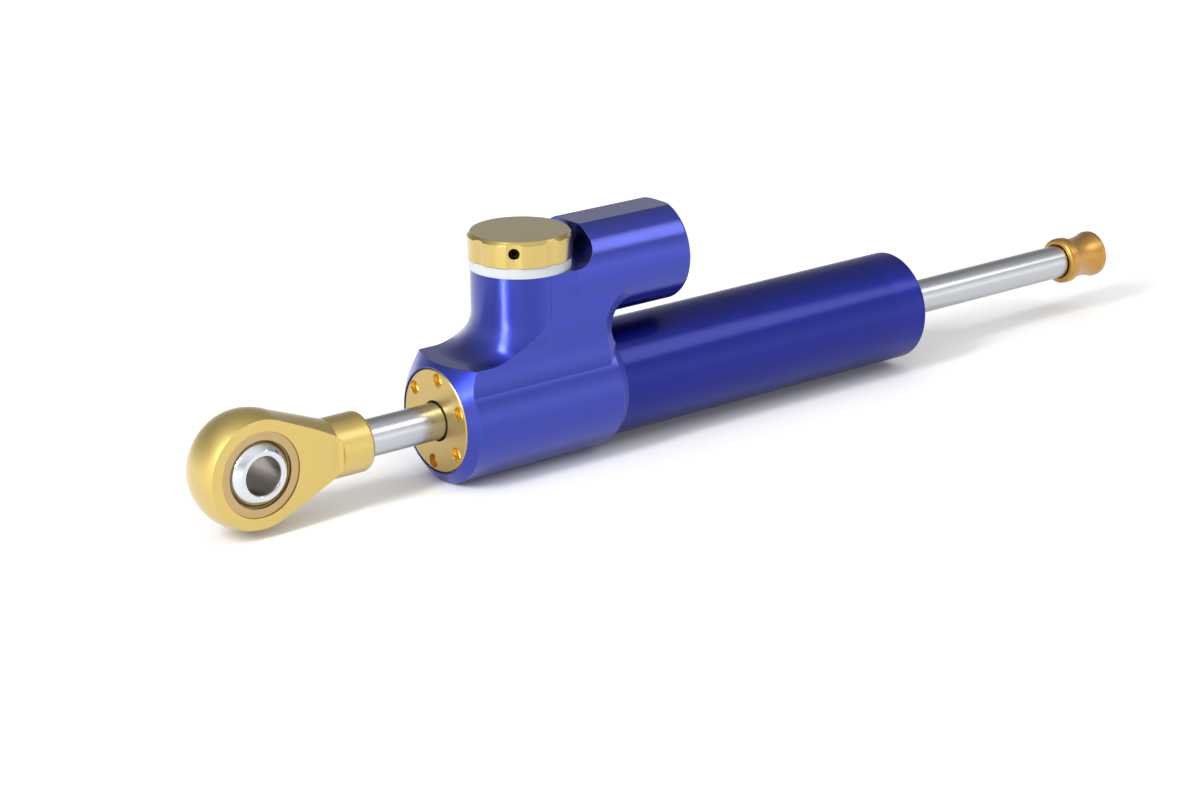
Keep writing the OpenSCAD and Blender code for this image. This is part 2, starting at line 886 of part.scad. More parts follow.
module knob_profile() {
    polygon([
        [0, knob_z],
        [knob_r, knob_z],
        [knob_r, knob_z + knob_h - knob_chamfer],
        [knob_r - knob_chamfer, knob_z + knob_h],
        [0, knob_z + knob_h]
    ]);
}

module at_grub() {
    translate([x_neck, 0, grub_z]) rotate([0, 0, grub_turn]) children();
}

module adjuster_knob() {
    color(gold) difference() {
        turned_neck() knob_profile();
        for (i = [0:flutes - 1])
            translate([x_neck, 0, knob_z - over]) rotate([0, 0, grub_turn + 360 * i / flutes])
                translate([knob_r - flute_depth + flute_r, 0, 0])
                    cylinder(r = flute_r, h = knob_h + 2 * over);
        bar_z(stem_r + seat_fit, knob_z - over, stem_top + clear_fit);
        turned_neck() translate([detent_r - track_half_w, knob_z - over])
            square([2 * track_half_w, track_depth + over]);
        for (i = [0:clicks - 1])
            translate([x_neck, 0, knob_z + track_depth + dimple_depth - detent_d / 2])
                rotate([0, 0, 360 * i / clicks])
                    translate([detent_r, 0, 0]) sphere(d = detent_d, $fn = valve_fn);
        at_grub() rod_x(grub_d / 2 + seat_fit, 0, knob_d);
    }
}

module knob_grub_screw() {
    x1 = knob_r - flute_depth - grub_sunk;
    socket_depth = 1.4;
    color(steel) at_grub() difference() {
        rod_x(grub_d / 2, stem_r, x1);
        translate([x1 - socket_depth, 0, 0]) rotate([0, 90, 0])
            cylinder(d = grub_socket / cos(30), h = socket_depth + over, $fn = 6);
    }
}

module adjuster_spindle() {
    shank_room = 5;
    color(steel) difference() {
        union() {
            bar_z(spindle_r, spindle_z, spindle_top);
            bar_z(stem_r, spindle_z, stem_top);
        }
        bar_z(needle_d / 2 + run_fit, spindle_z - over, spindle_z + shank_room);
        turned_neck() translate([spindle_r - 2 * o_cord - run_fit, spindle_groove_z - o_groove_w / 2])
            square([spindle_r, o_groove_w]);
    }
}

module spindle_o_ring() {
    color(rubber) turned_neck()
        translate([spindle_r - o_cord, spindle_groove_z]) circle(o_cord, $fn = valve_fn);
}

module metering_needle() {
    guide_half = 1.2;
    guide_mid = passage_z;
    shank_in = 3.6;
    tip_l = 1.2;
    color(brass) union() {
        turned_neck() polygon([
            [0, tip_z],
            [tip_d / 4, tip_z],
            [tip_d / 2, tip_z + tip_l],
            [tip_d / 2, guide_mid],
            [needle_d / 2, guide_mid],
            [needle_d / 2, spindle_z + shank_in],
            [0, spindle_z + shank_in]
        ]);
        translate([x_neck, 0, guide_mid - guide_half])
            cylinder(d = guide_w / cos(30), h = 2 * guide_half, $fn = 6);
    }
}

// Rod and piston

module piston_rod() {
    x_shoulder = x_cap + cap_recess;
    half = piston_l / 2;
    color(chrome) difference() {
        union() {
            rod_x(rod_r, x_collar, x_shoulder);
            rod_x(stud_r, x_collar - stud_l, x_collar + over);
            rod_x(stud_r, x_shoulder - over, x_shoulder + cap_stud_l);
        }
        for (side = [-1, 1])
            ring_x(rod_r - clip_bite, rod_r + over,
                x_piston + side * (half + clip_t / 2) - clip_t / 2 - run_fit / 2,
                x_piston + side * (half + clip_t / 2) + clip_t / 2 + run_fit / 2);
    }
}

module piston() {
    r = liner_bore_r - clear_fit;
    groove_r_in = liner_bore_r - run_fit - piston_ring_t - run_fit;
    groove_half = piston_ring_w / 2 + run_fit;
    color(steel) difference() {
        rod_x(r, x_piston - piston_l / 2, x_piston + piston_l / 2);
        rod_x(rod_r + seat_fit, x_piston - piston_l, x_piston + piston_l);
        ring_x(groove_r_in, r + over, x_piston - groove_half, x_piston + groove_half);
    }
}

module piston_ring() {
    r = liner_bore_r - run_fit;
    color(bronze) ring_x(r - piston_ring_t, r, x_piston - piston_ring_w / 2, x_piston + piston_ring_w / 2);
}

module piston_clip(side) {
    clip_w = 1.6;
    clip_gap = 3;
    translate([x_piston + side * (piston_l + clip_t) / 2 - clip_t / 2, 0, 0])
        rotate([0, 90, 0])
            spring_clip(rod_r - clip_bite + run_fit, rod_r + clip_w, clip_t, clip_gap);
}

module front_piston_clip() {
    color(steel) piston_clip(-1);
}

module rear_piston_clip() {
    color(steel) piston_clip(1);
}

// Rod eye and bearing, drawn round the bearing's centre

module eye_outline() {
    collar_r = collar_d / 2;
    intersection() {
        circle(eye_r);
        translate([0, -eye_r]) square([eye_r, 2 * eye_r]);
    }
    polygon([
        [0, 0],
        [taper_r, taper_x],
        [collar_r, shank_x],
        [collar_r, eye_reach - collar_round],
        [0, eye_reach - collar_round]
    ]);
    translate([0, eye_reach - 2 * collar_round]) square([collar_r - collar_round, 2 * collar_round]);
    translate([collar_r - collar_round, eye_reach - collar_round]) circle(collar_round);
}

// What is milled off beside one flat
module flat_cut() {
    linear_extrude(far, center = true) difference() {
        translate([-far + flat_reach, eye_w / 2]) square(far);
        translate([flat_reach, eye_w / 2]) mirror([1, 0]) corner_sweep(flat_sweep);
    }
}

module rod_eye() {
    color(gold) translate([x_eye, 0, 0]) difference() {
        difference() {
            turned_x() eye_outline();
            flat_cut();
            mirror([0, 1, 0]) flat_cut();
        }
        rotate([90, 0, 0]) cylinder(r = race_d / 2 + seat_fit, h = far, center = true);
        rod_x(stud_r + seat_fit, eye_reach - stud_l - over, eye_reach + over);
    }
}

module bearing_race() {
    half = race_w / 2;
    mouth_y = half - race_mouth_l;
    mouth_r = sqrt(pow(ball_r + run_fit, 2) - pow(mouth_y, 2)) + clear_fit;
    color(bronze) translate([x_eye, 0, 0]) rotate([90, 0, 0]) rotate_extrude() difference() {
        translate([0, -half]) square([race_d / 2, race_w]);
        circle(ball_r + run_fit);
        translate([0, mouth_y]) square([mouth_r, race_w]);
        translate([0, -mouth_y - race_w]) square([mouth_r, race_w]);
    }
}

module bearing_ball() {
    bolt_r = bolt_d / 2;
    half = ball_w / 2;
    color(chrome) translate([x_eye, 0, 0]) rotate([90, 0, 0]) rotate_extrude() difference() {
        intersection() {
            circle(ball_r);
            translate([0, -half]) square([ball_r, ball_w]);
        }
        translate([0, -half]) square([bolt_r, ball_w]);
        for (side = [-1, 1])
            polygon([
                [0, side * half],
                [bolt_r + bolt_chamfer, side * half],
                [bolt_r, side * (half - bolt_chamfer)],
                [0, side * (half - bolt_chamfer)]
            ]);
    }
}

module rod_end_cap() {
    bead_r = bead_d / 2;
    end_r = cap_end_d / 2;
    mouth_r = rod_r + cap_recess_gap;
    edge = 0.3;
    back = bead_l - bead_back_round;
    color(amber) translate([x_cap, 0, 0]) difference() {
        turned_x() union() {
            square([bead_r - bead_round, bead_l]);
            translate([bead_r - bead_round, bead_round]) circle(bead_round);
            translate([0, bead_round]) square([bead_r, back - bead_round]);
            translate([bead_r - bead_back_round, back]) circle(bead_back_round);
            difference() {
                polygon([
                    [0, back],
                    [end_r, back],
                    [end_r, cap_l - edge],
                    [end_r - edge, cap_l],
                    [0, cap_l]
                ]);
                translate([waist_d / 2 + waist_r, waist_at]) circle(waist_r, $fn = 200);
            }
        }
        rod_x(mouth_r, -over, cap_recess);
        rod_x(stud_r + seat_fit, -over, cap_recess + cap_stud_l + seat_fit);
    }
}

head_block();
cylinder_tube();
tube_o_ring();
inner_liner();
front_gland();
front_gland_o_ring();
front_rod_bush();
front_rod_seal();
front_rod_wiper();
rear_gland();
rear_gland_o_ring();
rear_rod_bush();
rear_rod_seal();
rear_rod_wiper();
reservoir_plug();
reservoir_plug_o_ring();
reservoir_circlip();
compensator_spring();
floating_piston();
floating_piston_o_ring();
valve_cartridge();
cartridge_o_ring();
valve_seat();
spindle_clip();
detent_ball();
detent_spring();
knob_washer();
adjuster_knob();
knob_grub_screw();
adjuster_spindle();
spindle_o_ring();
metering_needle();
piston_rod();
piston();
piston_ring();
front_piston_clip();
rear_piston_clip();
rod_eye();
bearing_race();
bearing_ball();
rod_end_cap();
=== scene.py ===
import math

import bmesh
import bpy
from bpy.props import FloatProperty, FloatVectorProperty, IntProperty, PointerProperty
from mathutils import Matrix, Vector


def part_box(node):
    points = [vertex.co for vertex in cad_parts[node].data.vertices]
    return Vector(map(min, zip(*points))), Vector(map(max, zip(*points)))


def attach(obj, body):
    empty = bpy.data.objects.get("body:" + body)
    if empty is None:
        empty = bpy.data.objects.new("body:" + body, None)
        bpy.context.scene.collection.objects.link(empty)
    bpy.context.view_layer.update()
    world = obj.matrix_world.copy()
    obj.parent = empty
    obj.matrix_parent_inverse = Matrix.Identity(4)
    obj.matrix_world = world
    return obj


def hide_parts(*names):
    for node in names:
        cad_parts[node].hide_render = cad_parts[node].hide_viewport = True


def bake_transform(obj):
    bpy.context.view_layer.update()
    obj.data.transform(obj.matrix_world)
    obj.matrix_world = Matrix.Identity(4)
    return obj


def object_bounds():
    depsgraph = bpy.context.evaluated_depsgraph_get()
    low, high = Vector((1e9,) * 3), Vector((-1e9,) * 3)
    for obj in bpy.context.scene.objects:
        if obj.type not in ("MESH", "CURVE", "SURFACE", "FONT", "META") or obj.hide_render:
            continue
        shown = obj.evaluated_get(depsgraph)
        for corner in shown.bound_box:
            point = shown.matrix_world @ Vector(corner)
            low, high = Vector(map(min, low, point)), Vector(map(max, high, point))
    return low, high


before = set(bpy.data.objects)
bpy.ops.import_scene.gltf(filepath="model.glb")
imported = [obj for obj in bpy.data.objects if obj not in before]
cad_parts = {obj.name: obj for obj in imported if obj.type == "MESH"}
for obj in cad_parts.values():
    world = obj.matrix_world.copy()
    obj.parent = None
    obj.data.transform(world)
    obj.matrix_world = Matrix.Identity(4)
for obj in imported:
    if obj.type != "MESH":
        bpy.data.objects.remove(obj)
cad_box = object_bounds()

bl_info = {
    "name": "Steering Damper",
    "version": (1, 0, 0),
    "blender": (4, 5, 0),
    "location": "View3D > Sidebar > Damper",
    "description": "Dresses a motorcycle steering damper and lays it on a pale studio floor",
    "category": "Object",
}


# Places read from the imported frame

def box_centre(node):
    low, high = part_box(node)
    return (low + high) / 2


tube_low, tube_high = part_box("cylinder_tube")
tube_radius = tube_high.z
coil_low, coil_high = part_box("compensator_spring")
detent_low, detent_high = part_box("detent_spring")
front_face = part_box("front_gland")[0].x
rear_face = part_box("rear_gland")[1].x
knob_centre = box_centre("adjuster_knob")
eye_centre = box_centre("bearing_ball")
cad_centre = (cad_box[0] + cad_box[1]) / 2
floor_level = cad_box[0].z

MM = 0.001
MICRON = 0.000001


def srgb(red, green, blue):
    """A colour given as three bytes, as linear light."""
    return tuple(
        c / 12.92 if c <= 0.04045 else ((c + 0.055) / 1.055) ** 2.4
        for c in (red / 255, green / 255, blue / 255)
    )


# Settings

def colour_setting(name, description, default):
    return FloatVectorProperty(
        name=name, description=description, subtype="COLOR", size=3, min=0, max=1, default=default
    )


def length_setting(name, description, default):
    return FloatProperty(
        name=name, description=description, unit="LENGTH", precision=5, min=0, default=default
    )


def angle_setting(name, description, degrees):
    return FloatProperty(
        name=name, description=description, subtype="ANGLE", default=math.radians(degrees)
    )


def share_setting(name, description, default):
    return FloatProperty(
        name=name, description=description, subtype="FACTOR", min=0, max=1, default=default
    )


def amount_setting(name, description, default):
    return FloatProperty(name=name, description=description, min=0, default=default)


class DamperColours(bpy.types.PropertyGroup):
    """The colours of the damper's finishes."""

    blue: colour_setting("Blue", "Anodised head and reservoir plug", srgb(35, 51, 163))
    deep_blue: colour_setting("Deep blue", "Anodised tube", srgb(24, 36, 141))
    gold: colour_setting("Gold", "Anodised rod eye and knob", srgb(204, 178, 97))
    pale_gold: colour_setting("Pale gold", "Faced ends of the glands", srgb(190, 160, 82))
    # Hole gold is a painted bounce light: the gold inside the pin-spanner holes is lighter and richer than
    # the faced gold around it.
    hole_bounce_gold: colour_setting("Hole gold", "Inside of the pin-spanner holes", srgb(226, 188, 88))
    amber: colour_setting("Amber", "Anodised cap at the far end of the rod", srgb(184, 134, 44))
    chrome: colour_setting("Chrome", "Plated rod and bearing ball", srgb(208, 211, 216))
    ball_bore: colour_setting("Ball bore", "Unplated bore of the bearing ball", srgb(152, 145, 138))
    bronze: colour_setting("Bronze", "Bearing race and bushes", srgb(184, 158, 112))
    brass: colour_setting("Brass", "Valve seat and needle", srgb(190, 160, 90))
    black_steel: colour_setting("Black steel", "Grub screw in the knob", srgb(36, 34, 33))
    # The worn edge colour is partly real wear and partly a painted highlight: broken edges are lightened
    # towards it as if they caught the light.
    wear_and_edge_highlight: colour_setting("Worn edge", "Aluminium that shows through at the edges", srgb(176, 182, 214))
    steel: colour_setting("Steel", "Springs, clips and screws", srgb(150, 152, 156))
    aluminium: colour_setting("Aluminium", "Bare liner and piston", srgb(196, 198, 200))
    rubber: colour_setting("Rubber", "Seals and O-rings", srgb(22, 22, 24))
    washer: colour_setting("Washer", "Plastic ring under the knob", srgb(190, 195, 197))


class DamperSurface(bpy.types.PropertyGroup):
    """The sizes of the damper's surface detail."""

    turn_pitch: length_setting("Turning pitch", "From one turned groove of the tube to the next", 0.0008)
    turn_depth: length_setting("Turning depth", "Depth of a turned groove", 0.000016)
    neck_pitch: length_setting("Neck pitch", "From one turned groove of the neck to the next", 0.0002)
    neck_depth: length_setting("Neck depth", "Depth of a groove of the neck", 0.00003)
    plain_band: length_setting("Plain band", "Length of the smooth band at the tube's end", 0.008)
    spigot_radius: length_setting("Spigot radius", "Radius of the tube's threaded end", 0.012)
    tube_bore: length_setting("Tube bore", "Inner radius of the tube", 0.0108)
    spigot_shoulder: length_setting("Spigot shoulder", "Length of the tube's plain land", 0.0882)
    tube_chamfer: length_setting("Tube chamfer", "Chamfer at the tube's end", 0.0006)
    tube_steps: IntProperty(
        name="Tube steps", description="Steps round the tube", min=24, max=256, default=144
    )
    bolt_radius: length_setting("Bolt radius", "Radius of the bearing ball's bore", 0.004)
    edge_soft: length_setting("Soft edge", "Radius of the broken edges", 0.00018)
    coil_wire: length_setting("Coil wire", "Wire of the compensator spring", 0.0011)
    coil_turns: amount_setting("Coil turns", "Turns of the compensator spring", 3.5)
    detent_wire: length_setting("Detent wire", "Wire of the detent spring", 0.00024)
    detent_turns: amount_setting("Detent turns", "Turns of the detent spring", 4)


class DamperStudio(bpy.types.PropertyGroup):
    """The camera, floor and lamps."""

    azimuth: angle_setting("Azimuth", "Camera's turn about the upright", -38.09)
    elevation: angle_setting("Elevation", "Camera's height over the horizon", 18.61)
    roll: angle_setting("Roll", "Camera's turn about its own line of sight", -0.642)
    distance: length_setting("Distance", "Camera to the point it looks at", 0.638)
    aim: FloatVectorProperty(
        name="Aim", description="Point the camera looks at", subtype="XYZ", unit="LENGTH",
        default=(-0.042236, 0, -0.004896),
    )
    lens: amount_setting("Lens", "Focal length in millimetres", 87.63)
    sensor: amount_setting("Sensor", "Width of the picture plane in millimetres", 36)
    floor_half: length_setting("Floor half", "Half the side of the floor", 4.0)
    floor_grey: share_setting("Floor grey", "How much light the floor throws back", 0.76)
    floor_matt: share_setting("Floor matt", "Roughness of the floor", 0.6)
    floor_gloss: share_setting("Floor gloss", "Strength of the floor's reflections", 0.1)
    # The floor's added light is a painted shade: it is lowest by the damper and rises between the near and
    # far rings.
    near_white: share_setting("Near white", "Light that the floor adds by the damper", 0.23)
    far_white: share_setting("Far white", "Light that the floor adds far away", 0.62)
    near_ring: length_setting("Near ring", "Where the floor's light begins to rise", 0.05)
    far_ring: length_setting("Far ring", "Where the floor's light is highest", 0.4)
    floor_stretch: share_setting("Floor stretch", "Weight of the way along the damper", 0.4)
    shadow_reach: length_setting("Shadow reach", "How far the damper dims the floor's light", 0.08)
    shadow_samples: IntProperty(
        name="Shadow samples", description="Rays for that dimming", min=1, max=64, default=8
    )
    horizon: amount_setting("Horizon", "Dome's light at the horizon", 1.8)
    low_sky: amount_setting("Low sky", "Dome's light a little above it", 1.5)
    high_sky: amount_setting("High sky", "Dome's light half way up", 0.76)
    zenith: amount_setting("Zenith", "Dome's light overhead", 1.3)
    low_height: share_setting("Low height", "Sine of the height of the low sky", 0.2)
    high_height: share_setting("High height", "Sine of the height of the high sky", 0.5)
    far_bearing: angle_setting("Far bearing", "Bearing of the dome's dim side, behind the damper", 150)
    far_side: share_setting("Far side", "Share of the dome's light that is left there", 0.34)
    front_bearing: angle_setting("Front bearing", "Bearing of the dome's dim patch, by the camera", -12)
    front_side: share_setting("Front side", "Share of the dome's light left in that patch", 0.5)
    left_bearing: angle_setting("Left bearing", "Turn of the left softbox about the upright", -78)
    left_height: angle_setting("Left height", "Height of the left softbox over the horizon", 34)
    left_distance: length_setting("Left distance", "From the damper to the left softbox", 0.9)
    left_width: length_setting("Left width", "Width of the left softbox", 0.12)
    left_length: length_setting("Left length", "Upright length of the left softbox", 0.44)
    left_power: amount_setting("Left power", "Watts of the left softbox", 6.2)
    right_bearing: angle_setting("Right bearing", "Turn of the right softbox about the upright", 48)
    right_height: angle_setting("Right height", "Height of the right softbox over the horizon", 40)
    right_distance: length_setting("Right distance", "From the damper to the right softbox", 1.0)
    right_width: length_setting("Right width", "Width of the right softbox", 0.4)
    right_length: length_setting("Right length", "Upright length of the right softbox", 0.34)
    right_power: amount_setting("Right power", "Watts of the right softbox", 1.4)


# Where the dome's dim side and its dim patch begin and end, as cosines
FAR_EDGE = (-0.4, 0.65)
FRONT_EDGE = (0.8, 0.97)

# The part of a noise's range that the eye sees most of
CLOUD_RANGE = (0.3, 0.7)
RING_RANGE = (0.25, 0.75)
PATCH_RANGE = (0.35, 0.65)

# How far the normal turns over a broken edge, as a cosine, and the least wear and painted highlight between
# its patches
EDGE_TURN = (0.86, 0.99)
PATCH_LEAST = 0.2
PATCH_SIZE = 1.2 * MM
EDGE_SAMPLES = 6


# Mesh helpers

def new_piece(name, mesh, slot, material, *nodes):
    """An object for a mesh that stands for CAD nodes."""
    piece = bpy.data.objects.new(name, mesh)
    bpy.context.scene.collection.objects.link(piece)
    mesh.materials.append(material)
    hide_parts(*nodes)
    return piece


def lathe(name, profile, steps, crease):
    """A closed profile of (x, radius) turned about the X axis."""
    build = bmesh.new()
    ring = [build.verts.new((x, 0, radius)) for x, radius in profile]
    edges = [build.edges.new((a, b)) for a, b in zip(ring, ring[1:] + ring[:1])]
    bmesh.ops.spin(
        build, geom=ring + edges, cent=(0, 0, 0), axis=(1, 0, 0), angle=math.tau, steps=steps
    )
    bmesh.ops.remove_doubles(build, verts=build.verts, dist=1e-7)
    bmesh.ops.recalc_face_normals(build, faces=build.faces)
    return finished_mesh(name, build, crease)


def coil(name, placing, mean_radius, wire, length, turns, steps=48, sides=14):
    """A round-wire spring along the placing's Z axis, from its origin upwards."""
    build = bmesh.new()
    rise = length - wire
    count = math.ceil(steps * turns)
    lean = math.atan2(rise, math.tau * mean_radius * turns)
    rings = []
    for i in range(count + 1):
        turn = math.tau * turns * i / count
        out = Vector((math.cos(turn), math.sin(turn), 0))
        up = Vector((math.sin(lean) * math.sin(turn), -math.sin(lean) * math.cos(turn), math.cos(lean)))
        middle = out * mean_radius + Vector((0, 0, wire / 2 + rise * i / count))
        points = []
        for j in range(sides):
            side = math.tau * j / sides
            offset = out * math.cos(side) + up * math.sin(side)
            points.append(build.verts.new(placing @ (middle + offset * (wire / 2))))
        rings.append(points)
    for first, second in zip(rings, rings[1:]):
        for j in range(sides):
            k = (j + 1) % sides
            build.faces.new((first[j], first[k], second[k], second[j]))
    build.faces.new(rings[0])
    build.faces.new(rings[-1])
    bmesh.ops.recalc_face_normals(build, faces=build.faces)
    return finished_mesh(name, build, math.radians(50))


def finished_mesh(name, build, crease):
    mesh = bpy.data.meshes.new(name)
    build.to_mesh(mesh)
    build.free()
    mesh.shade_smooth()
    mesh.set_sharp_from_angle(angle=crease)
    return mesh


# Finish helpers

class Finish:
    """A node material while it is put together."""

    def __init__(self, name):
        self.material = bpy.data.materials.new(name)
        self.material.use_nodes = True
        self.tree = self.material.node_tree
        self.shader = self.tree.nodes["Principled BSDF"]
        self.place = self.node("ShaderNodeTexCoord").outputs["Object"]

    def node(self, kind, **settings):
        made = self.tree.nodes.new(kind)
        for key, value in settings.items():
            setattr(made, key, value)
        return made

    def feed(self, socket, value):
        """Links an output to a socket, or sets a plain value on it."""
        if isinstance(value, bpy.types.NodeSocket):
            self.tree.links.new(value, socket)
        else:
            socket.default_value = value

    def surface(self, **values):
        for key, value in values.items():
            self.feed(self.shader.inputs[key.replace("_", " ").title().replace("Ior", "IOR")], value)

    def grain(self, size, detail=3.0):
        """Cloudy noise with spots of about that size."""
        noise = self.node("ShaderNodeTexNoise")
        self.feed(noise.inputs["Vector"], self.place)
        noise.inputs["Scale"].default_value = 1 / size
        noise.inputs["Detail"].default_value = detail
        return noise.outputs["Fac"]

    def rings(self, pitch, away, detail=2.0):
        """Noise that changes only with one distance, as tool marks do."""
        noise = self.node("ShaderNodeTexNoise", noise_dimensions="1D")
        self.feed(noise.inputs["W"], away)
        noise.inputs["Scale"].default_value = 1 / pitch
        noise.inputs["Detail"].default_value = detail
        return noise.outputs["Fac"]

    def along(self, axis):
        """The place along one axis."""
        split = self.node("ShaderNodeSeparateXYZ")
        self.feed(split.inputs[0], self.place)
        return split.outputs[axis]

    def radius(self, centre, keep):
        """The distance from a line through centre; keep is 0 along that line and 1 across it."""
        shift = self.node("ShaderNodeVectorMath", operation="SUBTRACT")
        self.feed(shift.inputs[0], self.place)
        shift.inputs[1].default_value = centre
        flat = self.node("ShaderNodeVectorMath", operation="MULTIPLY")
        self.feed(flat.inputs[0], shift.outputs[0])
        flat.inputs[1].default_value = keep
        size = self.node("ShaderNodeVectorMath", operation="LENGTH")
        self.feed(size.inputs[0], flat.outputs[0])
        return size.outputs["Value"]

    def facing(self, axis):
        """How squarely the surface faces along one axis, from 0 to 1."""
        split = self.node("ShaderNodeSeparateXYZ")
        self.feed(split.inputs[0], self.node("ShaderNodeNewGeometry").outputs["True Normal"])
        size = self.node("ShaderNodeMath", operation="ABSOLUTE")
        self.feed(size.inputs[0], split.outputs[axis])
        return size.outputs[0]

    def mottled(self, cloud, colour, low, high):
        """A colour that a cloud makes darker and lighter by two factors."""
        return self.tint(cloud, shade(colour, low), shade(colour, high))

    def clouded(self, cloud, low, high):
        """A value that goes from low to high with a cloud."""
        return self.between(cloud, low, high, *CLOUD_RANGE)

    def between(self, value, low, high, from_low=0.0, from_high=1.0, clamp=True):
        """A value carried from one range to another, held at its ends unless clamp is off."""
        carry = self.node("ShaderNodeMapRange", clamp=clamp)
        self.feed(carry.inputs["Value"], value)
        carry.inputs["From Min"].default_value = from_low
        carry.inputs["From Max"].default_value = from_high
        self.feed(carry.inputs["To Min"], low)
        self.feed(carry.inputs["To Max"], high)
        return carry.outputs["Result"]

    def wave(self, away, first, pitch):
        """Even grooves: 1 on the crests, which start at first and repeat at the pitch, and 0 between."""
        turns = self.between(away, 0, math.tau, first, first + pitch, clamp=False)
        swing = self.node("ShaderNodeMath", operation="COSINE")
        self.feed(swing.inputs[0], turns)
        return self.between(swing.outputs[0], 0, 1, -1, 1)

    def times(self, first, second):
        product = self.node("ShaderNodeMath", operation="MULTIPLY")
        self.feed(product.inputs[0], first)
        self.feed(product.inputs[1], second)
        return product.outputs[0]

    def tint(self, factor, first, second):
        """A colour that goes from first to second with the factor."""
        mix = self.node("ShaderNodeMix", data_type="RGBA")
        self.feed(mix.inputs["Factor"], factor)
        self.feed(mix.inputs["A"], opaque(first))
        self.feed(mix.inputs["B"], opaque(second))
        return mix.outputs["Result"]

    def direction(self, factor, first, second):
        """A direction that goes from first to second with the factor."""
        mix = self.node("ShaderNodeMix", data_type="VECTOR")
        self.feed(mix.inputs["Factor"], factor)
        self.feed(mix.inputs["A"], first)
        self.feed(mix.inputs["B"], second)
        return mix.outputs["Result"]

    def axis(self, direction):
        """One direction all over the surface."""
        made = self.node("ShaderNodeCombineXYZ")
        for socket, value in zip(made.inputs, direction):
            socket.default_value = value
        return made.outputs[0]

    def soft_edges(self, radius):
        """The surface's normal with broken edges."""
        bevel = self.node("ShaderNodeBevel", samples=EDGE_SAMPLES)
        bevel.inputs["Radius"].default_value = radius
        return bevel.outputs["Normal"]

    def edge_wear_and_highlight(self, edges, most):
        """Up to most along a broken edge, in patches, and nothing on the faces beside it: the mask for edge
        wear and painted edge highlight.
        """
        turn = self.node("ShaderNodeVectorMath", operation="DOT_PRODUCT")
        self.feed(turn.inputs[0], edges)
        self.feed(turn.inputs[1], self.node("ShaderNodeNewGeometry").outputs["Normal"])
        patches = self.between(self.grain(PATCH_SIZE), PATCH_LEAST, 1, *PATCH_RANGE)
        return self.times(self.between(turn.outputs["Value"], most, 0, *EDGE_TURN), patches)

    def relief(self, height, depth, normal):
        """Bumps of about that depth over a normal."""
        bump = self.node("ShaderNodeBump")
        bump.inputs["Distance"].default_value = depth
        self.feed(bump.inputs["Height"], height)
        self.feed(bump.inputs["Normal"], normal)
        return bump.outputs["Normal"]


def opaque(colour):
    return colour if isinstance(colour, bpy.types.NodeSocket) else (*colour, 1)


def shade(colour, amount):
    """The colour made darker or lighter by a factor."""
    return tuple(min(1, c * amount) for c in colour)


def colours():
    return bpy.context.scene.damper_colours


def details():
    return bpy.context.scene.damper_surface


def plain_start():
    """Where the tube's grooves end and its plain band begins."""
    return tube_high.x - details().plain_band


def groove_pitch():
    """The tube's groove pitch, fitted to whole turns, and where the first one starts."""
    size = details()
    shoulder = tube_high.x - size.tube_chamfer - size.spigot_shoulder
    length = plain_start() - shoulder
    return length / round(length / size.turn_pitch), shoulder


def outward(bearing, height):
    """The direction at a bearing, counted from the front, and a height over the horizon."""
    level = math.cos(height)
    return Vector((math.sin(bearing) * level, -math.cos(bearing) * level, math.sin(height)))


def dress(material, *nodes):
    """Gives CAD nodes a finish through their own material slots."""
    for name in nodes:
        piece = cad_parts[name]
        if not piece.material_slots:
            raise RuntimeError(f"{name} has no material slot to fill")
        for slot in piece.material_slots:
            slot.material = material


# Finishes

def blue_anodised(name, blue, seal, matt, spread, across, marks, groove_shade=None):
    """Dyed and sealed aluminium, satin, with tool marks and gloss that is spread across them."""
    finish = Finish(name)
    cloud = finish.grain(11 * MM)
    fine = finish.grain(0.35 * MM, detail=4)
    edges = finish.soft_edges(details().edge_soft)
    dye_and_painted_light = finish.mottled(cloud, blue, 0.94, 1.06)
    # Painted shade in the turned grooves: there the colour drops to 0.7 to 0.8 of the blue.
    if groove_shade:
        dye_and_painted_light = finish.tint(groove_shade(finish), finish.mottled(cloud, blue, 0.7, 0.8), dye_and_painted_light)
    # Wear and painted highlight: broken edges are lightened towards the pale edge colour, except along the
    # neck's seam.
    wear_and_edge_highlight = finish.times(finish.edge_wear_and_highlight(edges, most=0.2), off_neck_seam(finish))
    finish.surface(
        base_color=finish.tint(wear_and_edge_highlight, dye_and_painted_light, colours().wear_and_edge_highlight),
        metallic=1.0,
        roughness=matt(finish, cloud),
        anisotropic=spread,
        tangent=across(finish),
        coat_weight=seal,
        coat_roughness=0.17,
    )
    normal = finish.relief(fine, 4 * MICRON, edges)
    for height, depth in marks(finish):
        normal = finish.relief(height, depth, normal)
    finish.surface(normal=normal, coat_normal=normal)
    return finish.material


def off_neck_seam(finish):
    """0 along the seam where the neck runs into the flat, and 1 everywhere else. It keeps the edge wear and
    painted highlight off that seam.
    """
    away = finish.radius(knob_centre, (1, 0, 0))
    return finish.between(away, 0, 1, 0.4 * MM, 0.8 * MM)


def across_rod_marks(finish):
    """Marks that run round the rod's axis spread the gloss along it."""
    return finish.axis((1, 0, 0))


def across_head_marks(finish):
    """The same for the head, whose marks run round the neck in front and round the rod elsewhere."""
    return finish.direction(on_neck(finish), (1, 0, 0), (0, 0, 1))


def on_neck(finish):
    """1 on the turned neck ahead of the knob's axis and 0 on the rest of the head."""
    ahead = finish.between(finish.along("X"), 1, 0, knob_centre.x - 50 * MICRON, knob_centre.x)
    above = finish.between(finish.along("Z"), 0, 1, tube_radius, tube_radius + 2 * MM)
    return finish.times(ahead, above)


